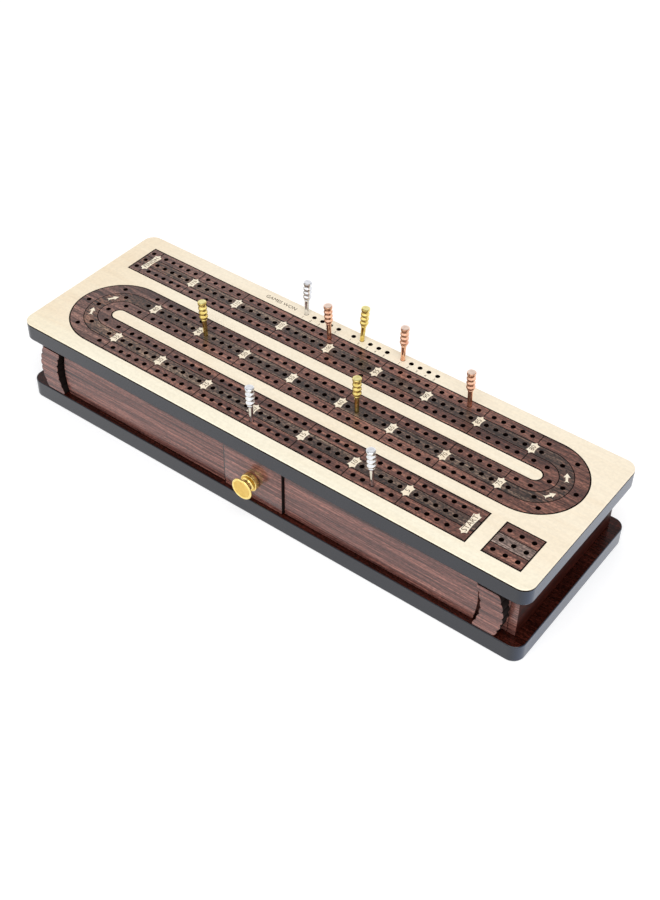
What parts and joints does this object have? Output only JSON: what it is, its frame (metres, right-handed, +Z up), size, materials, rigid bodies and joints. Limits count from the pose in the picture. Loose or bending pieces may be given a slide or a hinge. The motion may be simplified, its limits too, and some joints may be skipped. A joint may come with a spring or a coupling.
{
  "type": "cribbage board",
  "caption": "Rectangular cribbage board with an inlaid S-shaped three-track lane, lift-out metal pegs and a small central drawer with a turned knob.",
  "frame": {"origin": "centre of the base board's flat underside", "axes": "+X along the board's length to the player's right, +Y from the drawer front to the back, +Z up"},
  "size_m": [0.3566, 0.1242, 0.0822],
  "materials": {
    "maple": "satin lacquered pale maple",
    "inlay_rosewood": "satin reddish-brown rosewood, grain along the board",
    "inlay_dark": "satin dark grey-brown wood, grain along the board",
    "rosewood": "gloss lacquered rosewood",
    "painted_edge": "smooth dark grey paint on wood",
    "drawer_wood": "plain sanded pale softwood",
    "brass": "polished brass",
    "steel": "zinc-plated screw",
    "silver_metal": "polished silver-coloured plating",
    "gold_metal": "polished brass",
    "copper_metal": "polished copper-coloured plating"
  },
  "bodies": {
    "board": {"base_board": "painted_edge", "top_board": "painted_edge", "maple_field": "maple", "track_strip_outer": "inlay_rosewood", "track_strip_inner": "inlay_rosewood", "start_block_front": "inlay_rosewood", "start_block_back": "inlay_rosewood", "track_strip_centre": "inlay_dark", "start_block_centre": "inlay_dark", "front_facing_left": "rosewood", "front_facing_right": "rosewood", "back_facing": "rosewood", "end_wall_left": "rosewood", "end_wall_right": "rosewood", "front_wall_left": "rosewood", "front_wall_right": "rosewood", "back_wall": "rosewood", "bracket_front_left": "rosewood", "bracket_front_right": "rosewood", "bracket_back_left": "rosewood", "bracket_back_right": "rosewood", "drawer_guide_left": "drawer_wood", "drawer_guide_right": "drawer_wood"},
    "drawer": {"drawer_front": "rosewood", "drawer_side_left": "drawer_wood", "drawer_side_right": "drawer_wood", "drawer_back": "drawer_wood", "drawer_floor": "drawer_wood", "knob": "brass", "knob_screw": "steel"},
    "peg_silver_1": {"peg_silver_1": "silver_metal"},
    "peg_silver_2": {"peg_silver_2": "silver_metal"},
    "peg_silver_3": {"peg_silver_3": "silver_metal"},
    "peg_gold_1": {"peg_gold_1": "gold_metal"},
    "peg_gold_2": {"peg_gold_2": "gold_metal"},
    "peg_gold_3": {"peg_gold_3": "gold_metal"},
    "peg_copper_1": {"peg_copper_1": "copper_metal"},
    "peg_copper_2": {"peg_copper_2": "copper_metal"},
    "peg_copper_3": {"peg_copper_3": "copper_metal"}
  },
  "joints": [
    {"name": "drawer_slide", "type": "slide", "parent": "board", "child": "drawer", "axis": [0, -1, 0], "range_m": [0, 0.07]},
    {"name": "peg_silver_1_lift", "type": "slide", "parent": "board", "child": "peg_silver_1", "axis": [0, 0, 1], "range_m": [0, 0.03]},
    {"name": "peg_silver_2_lift", "type": "slide", "parent": "board", "child": "peg_silver_2", "axis": [0, 0, 1], "range_m": [0, 0.03]},
    {"name": "peg_silver_3_lift", "type": "slide", "parent": "board", "child": "peg_silver_3", "axis": [0, 0, 1], "range_m": [0, 0.03]},
    {"name": "peg_gold_1_lift", "type": "slide", "parent": "board", "child": "peg_gold_1", "axis": [0, 0, 1], "range_m": [0, 0.03]},
    {"name": "peg_gold_2_lift", "type": "slide", "parent": "board", "child": "peg_gold_2", "axis": [0, 0, 1], "range_m": [0, 0.03]},
    {"name": "peg_gold_3_lift", "type": "slide", "parent": "board", "child": "peg_gold_3", "axis": [0, 0, 1], "range_m": [0, 0.03]},
    {"name": "peg_copper_1_lift", "type": "slide", "parent": "board", "child": "peg_copper_1", "axis": [0, 0, 1], "range_m": [0, 0.03]},
    {"name": "peg_copper_2_lift", "type": "slide", "parent": "board", "child": "peg_copper_2", "axis": [0, 0, 1], "range_m": [0, 0.03]},
    {"name": "peg_copper_3_lift", "type": "slide", "parent": "board", "child": "peg_copper_3", "axis": [0, 0, 1], "range_m": [0, 0.03]}
  ]
}
